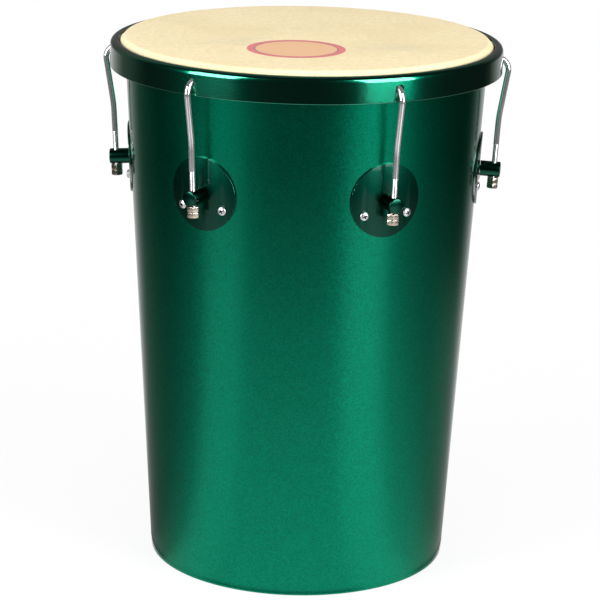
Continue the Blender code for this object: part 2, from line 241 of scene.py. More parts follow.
# Openings in the room: degrees round from the front, half their width where fully open and where
# closed, how open they are, and their near and far ends from the drum's axis, with the softness
# of those. Above OPENING_LOW to OPENING_HIGH the room is closed.
OPENINGS = [(-51, 5, 18, 0.63, -1.0, 1.2, 0.2),
            (40, 4, 19, 0.97, -1.0, 1.25, 0.25),
            (180, 22, 52, 0.62, -1.0, 8.0, 0.5),
            (128, 8, 38, 0.25, -1.0, 0.8, 0.25),
            (-51, 3, 15, 0.07, 1.8, 4.0, 0.2),
            (44, 3, 17, 0.26, 1.8, 4.0, 0.2)]
OPENING_LOW = 0.15
OPENING_HIGH = 0.40

# The shell's taper, its lean in radians, and a quarter turn from +Z to +X
TAPER = (SHELL_TOP_RADIUS - SHELL_FOOT_RADIUS) / SHELL_HEIGHT
LEAN = math.atan(TAPER)
QUARTER_TURN = Matrix.Rotation(math.radians(90), 4, "Y")


# Places

def shell_radius(height):
    return SHELL_FOOT_RADIUS + TAPER * height


def lug_turn(number):
    """The turn round the drum from +X to a lug."""
    return Matrix.Rotation(math.radians(FIRST_LUG + 360 / LUGS * (number - 1)), 4, "Z")


def on_shell(height, turn=0.0):
    """Axes on the shell's surface beside +X: local Z points out of it, local X up along it."""
    outward = Vector((math.cos(LEAN), 0.0, -math.sin(LEAN)))
    up = Vector((math.sin(LEAN), 0.0, math.cos(LEAN)))
    axes = Matrix((up, outward.cross(up), outward)).transposed().to_4x4()
    axes.translation = (shell_radius(height), 0.0, height)
    return Matrix.Rotation(turn, 4, "Z") @ axes


def along_rod(distance):
    """Axes on the rod's lower stretch beside +X: local Z runs up the rod."""
    place = on_shell(LUG_HEIGHT) @ Matrix.Translation((distance, 0.0, ROD_STANDOFF))
    return place @ QUARTER_TURN


def rod_point(distance):
    """The (radius, height) of a place on the rod's lower stretch."""
    place = along_rod(distance).translation
    return Vector((place.x, place.z))


def screw_places():
    turn = SCREW_SPREAD / shell_radius(LUG_HEIGHT)
    height = LUG_HEIGHT - SCREW_DROP * math.cos(LEAN)
    return [on_shell(height, side * turn) for side in (-1, 1)]


def lug_holes():
    """The (radius, place) of each hole that a lug needs, beside +X."""
    return [(BOLT_HOLE_RADIUS, on_shell(LUG_HEIGHT)),
            *((SCREW_HOLE_RADIUS, place) for place in screw_places())]


# Mesh tools

def arc(centre, radius, start, end, points=ARC_POINTS):
    turns = [math.radians(start + (end - start) * i / (points - 1)) for i in range(points)]
    return [(centre[0] + radius * math.cos(t), centre[1] + radius * math.sin(t)) for t in turns]


def smoothed(mesh):
    """The mesh, shaded smooth but for its sharp edges."""
    mesh.shade_smooth()
    mesh.set_sharp_from_angle(angle=math.radians(SHARP_ANGLE))
    return mesh


def mesh_from(shape, name):
    bmesh.ops.recalc_face_normals(shape, faces=shape.faces)
    mesh = bpy.data.meshes.new(name)
    shape.to_mesh(mesh)
    shape.free()
    return smoothed(mesh)


def turned(name, outline, steps=RING_STEPS, closed=True):
    """A (radius, height) outline turned about Z."""
    shape = bmesh.new()
    points = [shape.verts.new((radius, 0.0, height)) for radius, height in outline]
    ends = points[1:] + points[:1] if closed else points[1:]
    edges = [shape.edges.new(pair) for pair in zip(points, ends)]
    bmesh.ops.spin(shape, geom=points + edges, axis=(0, 0, 1), cent=(0, 0, 0),
                   angle=2 * math.pi, steps=steps, use_merge=True)
    bmesh.ops.remove_doubles(shape, verts=shape.verts, dist=WELD)
    return mesh_from(shape, name)


def new_object(name, mesh, matrix=Matrix()):
    piece = bpy.data.objects.new(name, mesh)
    bpy.context.scene.collection.objects.link(piece)
    piece.matrix_world = matrix
    return piece


def applied(piece):
    """The mesh that an object's modifiers make. The object is removed."""
    bpy.context.view_layer.update()
    graph = bpy.context.evaluated_depsgraph_get()
    result = bpy.data.meshes.new_from_object(piece.evaluated_get(graph))
    result.name = piece.data.name
    bpy.data.objects.remove(piece)
    return smoothed(result)


def carved(mesh, cutters, operation="DIFFERENCE"):
    """The mesh after each (cutter mesh, place) has been cut from it."""
    base = new_object("base", mesh)
    tools = [new_object("tool", cutter, place) for cutter, place in cutters]
    for tool in tools:
        boolean = base.modifiers.new("cut", "BOOLEAN")
        boolean.operation = operation
        boolean.solver = "EXACT"
        boolean.object = tool
    result = applied(base)
    for tool in tools:
        bpy.data.objects.remove(tool)
    return result


def joined(first, second):
    """One mesh that is the union of two."""
    return carved(first, [(second, Matrix())], "UNION")


def bevelled(mesh, width):
    """The mesh with its sharp edges rounded."""
    piece = new_object("bevelled", mesh)
    bevel = piece.modifiers.new("edge", "BEVEL")
    bevel.width = width
    bevel.segments = BEVEL_SEGMENTS
    bevel.limit_method = "ANGLE"
    bevel.angle_limit = math.radians(BEVEL_ANGLE)
    return applied(piece)


def bar(name, radius, low, high, steps=HOLE_STEPS):
    """A round bar along Z."""
    outline = [(0.0, high), (radius, high), (radius, low), (0.0, low)]
    return turned(name, outline, steps, closed=False)


def swept(name, stations, steps, radius):
    """A solid bar through stations of (distance, centre, along), in the plane y = 0."""
    shape = bmesh.new()
    side = Vector((0.0, 1.0, 0.0))
    rings = []
    for distance, centre, along in stations:
        outward = side.cross(along)
        ring = []
        for step in range(steps):
            turn = 2 * math.pi * step / steps
            reach = radius(distance, turn)
            offset = outward * math.cos(turn) + side * math.sin(turn)
            ring.append(shape.verts.new(centre + offset * reach))
        rings.append(ring)
    for ring, above in zip(rings, rings[1:]):
        for step in range(steps):
            after = (step + 1) % steps
            shape.faces.new((ring[step], ring[after], above[after], above[step]))
    shape.faces.new(rings[0][::-1])
    shape.faces.new(rings[-1])
    return mesh_from(shape, name)


def thread_dip(distance, turn, pitch):
    """0 on a thread's crest and 1 in its root."""
    phase = (distance / pitch - turn / (2 * math.pi)) % 1.0
    return abs(2 * phase - 1)


def hexagon(name, flats, height, bore=0.0):
    """A hexagonal nut or bolt head centred on its origin, with turned corners."""
    corner = flats / 2 / math.cos(math.radians(30))
    shape = bmesh.new()
    bmesh.ops.create_cone(shape, cap_ends=True, segments=6, radius1=corner, radius2=corner,
                          depth=height)
    blank = mesh_from(shape, name)
    top = height / 2
    face = flats / 2 - NUT_EDGE
    drop = NUT_CHAMFER * (corner - face) / (flats / 2 * NUT_CHAMFER_SPAN)
    barrel = [(0.0, top), (face, top), (corner + NUT_EDGE, top - drop),
              (corner + NUT_EDGE, drop - top), (face, -top), (0.0, -top)]
    mesh = carved(blank, [(turned("barrel", barrel, SMALL_STEPS, closed=False), Matrix())],
                  "INTERSECT")
    if bore:
        sink = NUT_CHAMFER / 2
        hole = [(0.0, height), (bore + sink, height), (bore + sink, top), (bore, top - sink),
                (bore, sink - top), (bore + sink, -top), (bore + sink, -height), (0.0, -height)]
        mesh = carved(mesh, [(turned("hole", hole, HOLE_STEPS, closed=False), Matrix())])
    return mesh


# Node tools

def set_inputs(tree, node, values):
    """Link or set each input of a node."""
    for key, value in values.items():
        if isinstance(value, bpy.types.NodeSocket):
            tree.links.new(value, node.inputs[key])
        else:
            node.inputs[key].default_value = value


def add_node(tree, kind, values=None, **settings):
    node = tree.nodes.new(kind)
    for key, value in settings.items():
        setattr(node, key, value)
    set_inputs(tree, node, values or {})
    return node


def place_on_object(tree):
    return add_node(tree, "ShaderNodeTexCoord").outputs["Object"]


def noise(tree, place, scale, detail, roughness=0.5):
    values = {"Scale": scale, "Detail": detail, "Roughness": roughness, "Vector": place}
    return add_node(tree, "ShaderNodeTexNoise", values).outputs["Fac"]


def opaque(colour):
    return (*colour, 1.0)


def ramp(tree, factor, stops):
    """A colour ramp through (position, colour) stops."""
    node = add_node(tree, "ShaderNodeValToRGB", {"Fac": factor})
    elements = node.color_ramp.elements
    while len(elements) < len(stops):
        elements.new(0.5)
    for element, (position, colour) in zip(elements, stops):
        element.position = position
        element.color = opaque(colour)
    return node.outputs["Color"]


def mixed(tree, factor, first, second):
    """A blend of two colours, by the mix node's numbered sockets for colour."""
    values = {0: factor, 6: first, 7: second}
    return add_node(tree, "ShaderNodeMix", values, data_type="RGBA").outputs[2]


def maths(tree, operation, first, second=0.0):
    node = add_node(tree, "ShaderNodeMath", {0: first, 1: second}, operation=operation)
    return node.outputs[0]


def product(tree, first, second):
    return maths(tree, "MULTIPLY", first, second)


def rest_of(tree, share):
    """1 less a share."""
    return maths(tree, "SUBTRACT", 1.0, share)


def vector_maths(tree, operation, values, output="Vector"):
    """A vector, or with "Value" as output a number."""
    return add_node(tree, "ShaderNodeVectorMath", values, operation=operation).outputs[output]


def flattened(tree, place):
    return vector_maths(tree, "MULTIPLY", {0: place, 1: (1.0, 1.0, 0.0)})


def length(tree, vector):
    return vector_maths(tree, "LENGTH", {0: vector}, "Value")


def mapped(tree, factor, start, end, low, high, steps="LINEAR"):
    """A factor that runs from start to end made to run from low to high, and no further."""
    values = {"Value": factor, "From Min": start, "From Max": end, "To Min": low, "To Max": high}
    node = add_node(tree, "ShaderNodeMapRange", values, clamp=True, interpolation_type=steps)
    return node.outputs["Result"]


def spread(tree, factor, low, high):
    """A factor of 0 to 1 stretched to run from low to high."""
    return mapped(tree, factor, 0.0, 1.0, low, high)


def smooth(tree, factor, start, end):
    """0 below start and 1 above end, with a soft step between."""
    return mapped(tree, factor, start, end, 0.0, 1.0, "SMOOTHSTEP")


def bump(tree, height, strength, distance, normal=None):
    values = {"Height": height, "Strength": strength, "Distance": distance}
    if normal:
        values["Normal"] = normal
    return add_node(tree, "ShaderNodeBump", values).outputs["Normal"]


def new_material(name):
    """A material, its node tree and its shader."""
    material = bpy.data.materials.new(name)
    material.use_nodes = True
    return material, material.node_tree, material.node_tree.nodes["Principled BSDF"]


def show_mix(tree, factor, first, second):
    """Make a mix of two shaders the material's surface."""
    blend = add_node(tree, "ShaderNodeMixShader", {0: factor, 1: first, 2: second})
    tree.links.new(blend.outputs[0], tree.nodes["Material Output"].inputs["Surface"])


# Finishes

def flake_paint(name, colour, deep, roughness, flake_size, sparkle, coat_ior, coat_roughness,
                edge_tint=0.4):
    """Metallic lacquer: tilted flakes in a coloured base under a clear gloss."""
    material, tree, shader = new_material(name)
    place = place_on_object(tree)
    flakes = add_node(tree, "ShaderNodeTexVoronoi",
                      {"Scale": 1.0 / flake_size, "Vector": place}).outputs["Color"]
    grain = add_node(tree, "ShaderNodeSeparateColor", {"Color": flakes}).outputs["Red"]
    cloud = noise(tree, place, scale=90.0, detail=4.0)
    body = mixed(tree, cloud, opaque(deep), opaque(colour))
    glint = spread(tree, grain, 1.0 - sparkle, 1.0 + sparkle)
    flaked = vector_maths(tree, "SCALE", {0: body, "Scale": glint})
    tilt = vector_maths(tree, "SUBTRACT", {0: flakes, 1: (0.5, 0.5, 0.5)})
    lean = vector_maths(tree, "SCALE", {0: tilt, "Scale": FLAKE_TILT * sparkle})
    facing = add_node(tree, "ShaderNodeNewGeometry").outputs["Normal"]
    tipped = vector_maths(tree, "ADD", {0: facing, 1: lean})
    haze = noise(tree, place, scale=14.0, detail=3.0)
    set_inputs(tree, shader, {
        "Base Color": flaked, "Metallic": 1.0,
        "Roughness": spread(tree, haze, roughness - 0.03, roughness + 0.03),
        "Specular Tint": opaque((edge_tint, edge_tint, edge_tint)),
        "Normal": vector_maths(tree, "NORMALIZE", {0: tipped}),
        "Coat Weight": 1.0, "Coat Roughness": coat_roughness, "Coat IOR": coat_ior})
    return material


def plated_metal(name, colour, worn, roughness, scratch, metallic=1.0):
    """Plated metal with faint smudges and fine wear."""
    material, tree, shader = new_material(name)
    place = place_on_object(tree)
    smudge = noise(tree, place, scale=260.0, detail=4.0)
    rub = noise(tree, place, scale=2600.0, detail=2.0)
    set_inputs(tree, shader, {
        "Base Color": mixed(tree, smudge, opaque(colour), opaque(worn)),
        "Metallic": metallic,
        "Roughness": spread(tree, smudge, roughness * 0.7, roughness * 1.4),
        "Normal": bump(tree, rub, scratch, FINE_RELIEF)})
    return material


def raw_metal(name, colour, roughness):
    """Bare sheet with fine rolling marks that run round the drum."""
    material, tree, shader = new_material(name)
    stretch = add_node(tree, "ShaderNodeMapping",
                       {"Vector": place_on_object(tree), "Scale": (20.0, 20.0, 1400.0)})
    lines = noise(tree, stretch.outputs[0], scale=1.0, detail=3.0)
    dark = tuple(0.8 * part for part in colour)
    set_inputs(tree, shader, {
        "Base Color": mixed(tree, lines, opaque(dark), opaque(colour)), "Metallic": 1.0,
        "Roughness": spread(tree, lines, roughness - 0.08, roughness + 0.08),
        "Normal": bump(tree, lines, 0.15, FINE_RELIEF)})
    return material


def patched(tree, under, patches, start, end, share, colour):
    """A colour laid over another by a share, where the patches' noise is above start."""
    cover = product(tree, smooth(tree, patches, start, end), share)
    return mixed(tree, cover, under, opaque(colour))


def with_label(tree, place, hide, grain):
    """The printed rings over the hide, each on top of the one before, with edges a little worn."""
    flat = add_node(tree, "ShaderNodeSeparateXYZ", {0: place}).outputs
    across = maths(tree, "SUBTRACT", flat["X"], LABEL_CENTRE[0])
    along = maths(tree, "SUBTRACT", flat["Y"], LABEL_CENTRE[1])
    square = maths(tree, "ADD", product(tree, across, across), product(tree, along, along))
    wear = product(tree, maths(tree, "SUBTRACT", grain, 0.5), LABEL_WEAR)
    edge = maths(tree, "ADD", maths(tree, "SQRT", square), wear)
    line = LABEL_RADIUS - LABEL_BAND
    for radius, ink, share in ((LABEL_RADIUS, BAND_INK, 0.88), (line, LINE_INK, 0.80),
                               (line - LABEL_LINE, MIDDLE_INK, 0.80)):
        inside = maths(tree, "LESS_THAN", edge, radius)
        hide = mixed(tree, product(tree, inside, share), hide, opaque(ink))
    return hide


def natural_skin():
    """Cream hide with cloudy mottling, pores, the printed rings and a painted shade beside the
    hoop's lip.
    """
    material, tree, shader = new_material("natural_skin")
    place = place_on_object(tree)
    clouds = noise(tree, place, scale=9.0, detail=5.0, roughness=0.6)
    grain = noise(tree, place, scale=420.0, detail=4.0, roughness=0.65)
    pores = noise(tree, place, scale=1500.0, detail=2.0)
    stains = noise(tree, place, scale=13.0, detail=4.0, roughness=0.6)
    specks = noise(tree, place, scale=220.0, detail=5.0, roughness=0.8)
    hide = ramp(tree, clouds, HIDE_SHADES)
    hide = patched(tree, hide, stains, start=0.56, end=0.74, share=0.45, colour=HIDE_STAIN)
    hide = patched(tree, hide, specks, start=0.42, end=0.62, share=0.58, colour=HIDE_SPECK)
    hide = with_label(tree, place, hide, grain)
    # Painted shade: the skin's colour turns dark just inside the hoop's lip, where the lip shades
    # it.
    lip = smooth(tree, length(tree, flattened(tree, place)),
                 HOOP_LIP_RADIUS - LIP_SHADE_START, HOOP_LIP_RADIUS - LIP_SHADE_FULL)
    relief = bump(tree, grain, 0.25, GRAIN_RELIEF)
    set_inputs(tree, shader, {
        "Base Color": mixed(tree, lip, hide, opaque(LIP_SHADE)),
        "Roughness": spread(tree, clouds, 0.70, 0.85), "Specular IOR Level": 0.1,
        "Normal": bump(tree, pores, 0.15, FINE_RELIEF, relief)})
    return material


shell_green = flake_paint("shell_green", (0.001, 0.254, 0.139), (0.001, 0.226, 0.125),
                          roughness=0.28, flake_size=0.0008, sparkle=0.20, coat_ior=1.14,
                          coat_roughness=0.10)
hoop_green = flake_paint("hoop_green", (0.001, 0.34, 0.19), (0.001, 0.30, 0.165),
                         roughness=0.16, flake_size=0.0006, sparkle=0.08, coat_ior=1.70,
                         coat_roughness=0.03, edge_tint=0.2)
lug_green = flake_paint("lug_green", (0.001, 0.080, 0.048), (0.001, 0.065, 0.040),
                        roughness=0.20, flake_size=0.0006, sparkle=0.08, coat_ior=1.24,
                        coat_roughness=0.03)
plate_green = flake_paint("plate_green", (0.001, 0.060, 0.037), (0.001, 0.050, 0.031),
                          roughness=0.36, flake_size=0.0006, sparkle=0.08, coat_ior=1.24,
                          coat_roughness=0.06)
# A lighter green with a strong gloss for the plates' rims: a painted highlight along their edges.
lug_rim_painted_highlight = flake_paint("lug_rim_painted_highlight", (0.012, 0.150, 0.100), (0.010, 0.125, 0.085),
                            roughness=0.30, flake_size=0.0006, sparkle=0.08, coat_ior=3.2,
                            coat_roughness=0.10)
inner_sheet = raw_metal("inner_sheet", (0.62, 0.62, 0.61), roughness=0.42)
skin_hide = natural_skin()
rod_chrome = plated_metal("rod_chrome", (0.97, 0.96, 0.98), (0.90, 0.89, 0.92),
                          roughness=0.06, scratch=0.005, metallic=0.9)
screw_chrome = plated_metal("screw_chrome", (0.94, 0.94, 0.96), (0.80, 0.81, 0.85),
                            roughness=0.36, scratch=0.06)
# A near-black finish for the cross recess in the screw heads: painted shade in the slots.
screw_recess_painted_shade = plated_metal("screw_recess_painted_shade", (0.12, 0.12, 0.13), (0.08, 0.08, 0.09),
                            roughness=0.50, scratch=0.06)
nut_plating = plated_metal("nut_plating", (0.80, 0.71, 0.60), (0.56, 0.49, 0.40),
                           roughness=0.18, scratch=0.25)
zinc_steel = plated_metal("zinc_steel", (0.62, 0.62, 0.62), (0.50, 0.50, 0.50),
                          roughness=0.34, scratch=0.12)


# Pieces

def two_finishes(mesh, main, other, is_other):
    """Give a mesh a main finish, and another on the faces that is_other picks."""
    mesh.materials.clear()
    mesh.materials.append(main)
    mesh.materials.append(other)
    for face in mesh.polygons:
        face.material_index = 1 if is_other(face) else 0


def dress(name, mesh, node, body, matrix=Matrix()):
    """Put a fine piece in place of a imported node."""
    piece = new_object(name, mesh, matrix)
    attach(piece, body)
    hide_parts(node)


def dress_lugs(base, mesh, body, places):
    """A copy of a piece at each place beside every lug, on one body or each on its node's own."""
    number = 0
    for lug in range(1, LUGS + 1):
        for place in places:
            number += 1
            node = f"{base}_{number}"
            dress(f"fine_{node}", mesh, node, body or node, lug_turn(lug) @ place)


def shell_outline():
    """The wall's outline. Points beside its rounded ends keep its straight faces even."""
    bead = BEARING_BEAD / 2
    crest = (SHELL_TOP_RADIUS - bead, SHELL_HEIGHT - bead)
    corner = (SHELL_FOOT_RADIUS - FOOT_ROUNDING, FOOT_ROUNDING)
    roll = FOOT_ROLL_WIDTH / 2
    roll_low = (SHELL_FOOT_RADIUS - roll, roll)
    roll_high = (SHELL_FOOT_RADIUS - roll, FOOT_ROLL_HEIGHT - roll)
    band = [LUG_HEIGHT - BAND_REACH, LUG_HEIGHT + BAND_REACH]
    outside = [crest[1] - bead, *band[::-1], 2 * FOOT_ROUNDING]
    inside = [2 * FOOT_ROLL_HEIGHT, *band, SHELL_HEIGHT - BEARING_BEAD - SHELL_WALL]
    return [*arc(crest, bead, 90, 0),
            *((shell_radius(height), height) for height in outside),
            *arc(corner, FOOT_ROUNDING, 0, -90, points=6),
            *arc(roll_low, roll, -90, -180, points=6),
            *arc(roll_high, roll, 180, 100, points=6),
            *((shell_radius(height) - SHELL_WALL, height) for height in inside),
            *arc(crest, bead, 200, 90)[:-1]]


def make_shell():
    depth = 4 * SHELL_WALL
    cutters = [(bar("hole", radius, -depth, depth), lug_turn(lug) @ place)
               for lug in range(1, LUGS + 1) for radius, place in lug_holes()]
    mesh = carved(turned("fine_shell", shell_outline()), cutters)

    def is_bare(face):
        middle = face.center
        painted = math.hypot(middle.x, middle.y) > shell_radius(middle.z) - SHELL_WALL / 2
        return not painted and middle.z >= FOOT_ROLL_HEIGHT

    two_finishes(mesh, shell_green, inner_sheet, is_bare)
    dress("fine_shell", mesh, "shell", "drum_body")


def hoop_outline():
    """An angle section. Points beside its rounded edges keep its straight face even."""
    edge = HOOP_EDGE
    shoulder = (HOOP_OUTER_RADIUS - HOOP_SHOULDER, HOOP_TOP - HOOP_SHOULDER)
    foot = HOOP_BOTTOM + edge
    lip = HOOP_LIP_RADIUS + edge
    return [*arc((lip, HOOP_TOP - edge), edge, 180, 90, points=5),
            *arc(shoulder, HOOP_SHOULDER, 90, 0, points=14),
            (HOOP_OUTER_RADIUS, shoulder[1] - edge / 2),
            (HOOP_OUTER_RADIUS, HOOP_BOTTOM + 1.5 * edge),
            *arc((HOOP_OUTER_RADIUS - edge, foot), edge, 0, -90, points=5),
            *arc((HOOP_OUTER_RADIUS - HOOP_WALL + edge, foot), edge, -90, -180, points=5),
            *arc(shoulder, HOOP_SHOULDER - HOOP_WALL, 0, 90, points=8),
            *arc((lip, HOOP_TOP - HOOP_WALL + edge), edge, -90, -180, points=5)]


def make_hoop():
    hole = bar("hook_hole", HOOK_HOLE_RADIUS, -3 * HOOP_WALL, HOOP_WALL)
    place = Matrix.Translation((HOOP_OUTER_RADIUS, 0.0, HOOK_HOLE_HEIGHT)) @ QUARTER_TURN
    cutters = [(hole, lug_turn(lug) @ place) for lug in range(1, LUGS + 1)]
    mesh = carved(turned("fine_counter_hoop", hoop_outline()), cutters)
    mesh.materials.append(hoop_green)
    dress("fine_counter_hoop", mesh, "counter_hoop", "tension_ring")


def make_flesh_hoop():
    centre = (FLESH_HOOP_RADIUS, FLESH_HOOP_HEIGHT)
    outline = arc(centre, FLESH_HOOP_THICKNESS / 2, 90, -270, points=25)[:-1]
    mesh = turned("fine_flesh_hoop", outline)
    mesh.materials.append(zinc_steel)
    dress("fine_flesh_hoop", mesh, "flesh_hoop", "tension_ring")


def skin_side(shift):
    """The skin's outline at a shift from the middle of its thickness."""
    middle = SHELL_HEIGHT + GAP + SKIN / 2
    edge_centre = Vector((SKIN_FLAT_RADIUS, middle - SKIN_BEND_RADIUS))
    lap_centre = Vector((FLESH_HOOP_RADIUS, FLESH_HOOP_HEIGHT))
    lap_radius = FLESH_HOOP_THICKNESS / 2 + GAP + SKIN / 2
    step = lap_centre - edge_centre
    leave = math.degrees(math.atan2(step.y, step.x)
                         + math.acos((SKIN_BEND_RADIUS - lap_radius) / step.length))
    flats = [SKIN_FLAT_RADIUS * ring / SKIN_RINGS for ring in range(SKIN_RINGS)]
    return [*((radius, middle + shift) for radius in flats),
            *arc(edge_centre, SKIN_BEND_RADIUS + shift, 90, leave, points=8),
            *arc(lap_centre, lap_radius + shift, leave, SKIN_LAP_END, points=18)]


def make_drumhead():
    outline = skin_side(SKIN / 2) + skin_side(-SKIN / 2)[::-1]
    mesh = turned("fine_drumhead", outline, closed=False)
    mesh.materials.append(skin_hide)
    dress("fine_drumhead", mesh, "drumhead", "tension_ring")


def hook_centre():
    """The (radius, height) that the hook bends round."""
    radius = HOOP_OUTER_RADIUS + ROD_OFF_HOOP - ROD_BEND_RADIUS
    inside = ROD_BEND_RADIUS - ROD_RADIUS
    rise = math.sqrt(inside ** 2 - (HOOP_OUTER_RADIUS - radius) ** 2)
    return Vector((radius, HOOK_HOLE_HEIGHT - HOOK_HOLE_RADIUS + GAP - rise))


def rod_points():
    """The rod's middle line beside +X, with the kink rounded, from its lower end to its tip."""
    straight = []
    distance = -ROD_BELOW_POST
    while distance < THREAD_TOP + PITCH:
        straight.append(rod_point(distance))
        distance += PITCH / STATIONS_PER_TURN
    centre = hook_centre()
    kink = rod_point(ROD_KINK)
    step = kink - centre
    meet = math.degrees(math.atan2(step.y, step.x) + math.acos(ROD_BEND_RADIUS / step.length))
    end = math.acos((ROD_TIP_RADIUS - centre.x) / ROD_BEND_RADIUS)
    trimmed = math.degrees(end) - math.degrees(ROD_END_CHAMFER / ROD_BEND_RADIUS)
    bend = [Vector(point)
            for point in arc(centre, ROD_BEND_RADIUS, meet, trimmed, ROD_BEND_POINTS)]
    bend.append(centre + ROD_BEND_RADIUS * Vector((math.cos(end), math.sin(end))))
    before = rod_point(ROD_KINK - ROD_KINK_ROUNDING)
    after = kink + (bend[0] - kink).normalized() * ROD_KINK_ROUNDING
    shares = [index / ROD_KINK_SPANS for index in range(ROD_KINK_SPANS + 1)]
    rounded = [before.lerp(kink, share).lerp(kink.lerp(after, share), share) for share in shares]
    return [*straight, *rounded, *bend]


def rod_stations():
    points = rod_points()
    stations = []
    distance = 0.0
    for index, point in enumerate(points):
        before = points[max(index - 1, 0)]
        after = points[min(index + 1, len(points) - 1)]
        along = (after - before).normalized()
        distance += (point - before).length
        stations.append((distance, Vector((point.x, 0.0, point.y)),
                         Vector((along.x, 0.0, along.y))))
    return stations


def make_hook_rods():
    stations = rod_stations()
    total = stations[-1][0]
    threaded = ROD_BELOW_POST + THREAD_TOP

    def radius(distance, turn):
        trim = max(ROD_END_CHAMFER - distance, ROD_END_CHAMFER - (total - distance), 0.0)
        fade = min(max((threaded - distance) / PITCH, 0.0), 1.0)
        return ROD_RADIUS - trim - THREAD_DEPTH * fade * thread_dip(distance, turn, PITCH)

    mesh = swept("fine_hook_rod", stations, ROD_STEPS, radius)
    mesh.materials.append(rod_chrome)
    dress_lugs("hook_rod", mesh, "tension_ring", [Matrix()])


def make_nuts():
    mesh = bevelled(hexagon("fine_nut", NUT_FLATS, NUT_HEIGHT, NUT_BORE_RADIUS), NUT_ROUNDING)
    mesh.materials.append(nut_plating)
    first = -(POST_RADIUS + GAP + NUT_HEIGHT / 2)
    second = first - GAP - NUT_HEIGHT
    for base, distance in (("tuning_nut", first), ("lock_nut", second)):
        dress_lugs(base, mesh, None, [along_rod(distance)])


def make_lug_plates():
    low = LUG_HEIGHT - SLEEVE_REACH
    high = LUG_HEIGHT + SLEEVE_REACH
    sleeve = [(shell_radius(high) + PLATE_FACE, high), (shell_radius(low) + PLATE_FACE, low),
              (shell_radius(low) + GAP, low), (shell_radius(high) + GAP, high)]
    disc = bar("disc", PLATE_RADIUS, -PLATE_RADIUS / 2, PLATE_RADIUS / 2, PLATE_STEPS)
    blank = carved(turned("fine_lug_plate", sleeve, PLATE_RING_STEPS),
                   [(disc, on_shell(LUG_HEIGHT))], "INTERSECT")
    holes = [(bar("hole", radius, -PLATE_RADIUS, PLATE_RADIUS), place)
             for radius, place in lug_holes()]
    plate = bevelled(carved(blank, holes), PLATE_EDGE)

    # Faces of the rim that get the painted highlight.
    def is_rim(face):
        flat = Vector((face.center.x, face.center.y, 0.0)).normalized() * math.cos(LEAN)
        outward = flat - Vector((0.0, 0.0, math.sin(LEAN)))
        return abs(face.normal.dot(outward)) <= RIM_FACING

    two_finishes(plate, plate_green, lug_rim_painted_highlight, is_rim)
    dress_lugs("lug_plate", plate, "drum_body", [Matrix()])


def make_lug_posts():
    base = PLATE_FACE + GAP
    floor = base + POST_BOLT_DEPTH
    foot_chamfer = POST_CHAMFER / 4
    crown_radius = (POST_RADIUS ** 2 + POST_CROWN ** 2) / (2 * POST_CROWN)
    lean = math.degrees(math.asin((POST_RADIUS - POST_CHAMFER) / (crown_radius - POST_CHAMFER)))
    crown = arc((0.0, POST_END - crown_radius), crown_radius, 90, 90 - lean, points=8)
    corner = (POST_RADIUS - POST_CHAMFER,
              crown[-1][1] - POST_CHAMFER * math.cos(math.radians(lean)))
    outline = [*crown, *arc(corner, POST_CHAMFER, 90 - lean, 0, points=6)[1:],
               (POST_RADIUS, base + foot_chamfer), (POST_RADIUS - foot_chamfer, base),
               (BOLT_HOLE_RADIUS, base), (BOLT_HOLE_RADIUS, floor), (0.0, floor)]
    post = turned("fine_lug_post", outline, SMALL_STEPS, closed=False)
    hole = bar("post_hole", POST_HOLE_RADIUS, -2 * POST_RADIUS, 2 * POST_RADIUS)
    across = Matrix.Translation((0.0, 0.0, ROD_STANDOFF)) @ QUARTER_TURN
    mesh = carved(post, [(hole, across)])
    mesh.materials.append(lug_green)
    dress_lugs("lug_post", mesh, "drum_body", [on_shell(LUG_HEIGHT)])


def screw_cross(top):
    """Cutters for the two slots of the cross in a screw's head."""
    cutters = []
    for turn in (CROSS_TURN, CROSS_TURN + 90):
        shape = bmesh.new()
        bmesh.ops.create_cube(shape, size=1.0)
        for vertex in shape.verts:
            above = vertex.co.z > 0
            vertex.co.x *= CROSS_SPAN * (1.0 if above else CROSS_TIP_SPAN)
            vertex.co.y *= CROSS_WIDTH * (1.0 if above else CROSS_TIP_WIDTH)
            vertex.co.z = top + CROSS_ABOVE if above else top - CROSS_DEPTH
        cutters.append((mesh_from(shape, "slot"), Matrix.Rotation(math.radians(turn), 4, "Z")))
    return cutters


def screw_shank(top):
    """A pointed and threaded shank that ends under the screw's head."""
    step = SCREW_PITCH / STATIONS_PER_TURN
    stations = [(index * step, Vector((0.0, 0.0, index * step - SCREW_REACH)),
                 Vector((0.0, 0.0, 1.0))) for index in range(int((top + SCREW_REACH) / step))]

    def radius(distance, turn):
        taper = min((distance + SCREW_TIP) / SCREW_POINT, 1.0)
        dip = SCREW_THREAD_DEPTH * thread_dip(distance, turn, SCREW_PITCH)
        return taper * (SCREW_RADIUS - dip)

    return swept("shank", stations, SCREW_STEPS, radius)


def make_plate_screws():
    under = PLATE_FACE + GAP
    top = under + SCREW_HEAD_HEIGHT
    rim = under + SCREW_HEAD_RIM
    turns = [math.radians(turn) for turn in range(90, 0, -SCREW_DOME_STEP)]
    dome = [(SCREW_HEAD_RADIUS * math.cos(turn), rim + (top - rim) * math.sin(turn))
            for turn in turns]
    outline = [*dome, (SCREW_HEAD_RADIUS, rim), (SCREW_HEAD_RADIUS, under), (0.0, under)]
    head = turned("fine_plate_screw", outline, SMALL_STEPS, closed=False)
    mesh = joined(carved(head, screw_cross(top)), screw_shank(under))

    # Faces of the cross recess that get the painted shade.
    def is_painted_shade_recess(face):
        out = math.hypot(face.center.x, face.center.y)
        across = min(out / SCREW_HEAD_RADIUS, 1.0)
        dome_height = rim + (top - rim) * math.sqrt(1.0 - across ** 2)
        height = face.center.z
        return (top - CROSS_DEPTH - GAP < height < dome_height - CROSS_SUNK
                and out < CROSS_SPAN / 2)

    two_finishes(mesh, screw_chrome, screw_recess_painted_shade, is_painted_shade_recess)
    dress_lugs("plate_screw", mesh, "drum_body", screw_places())


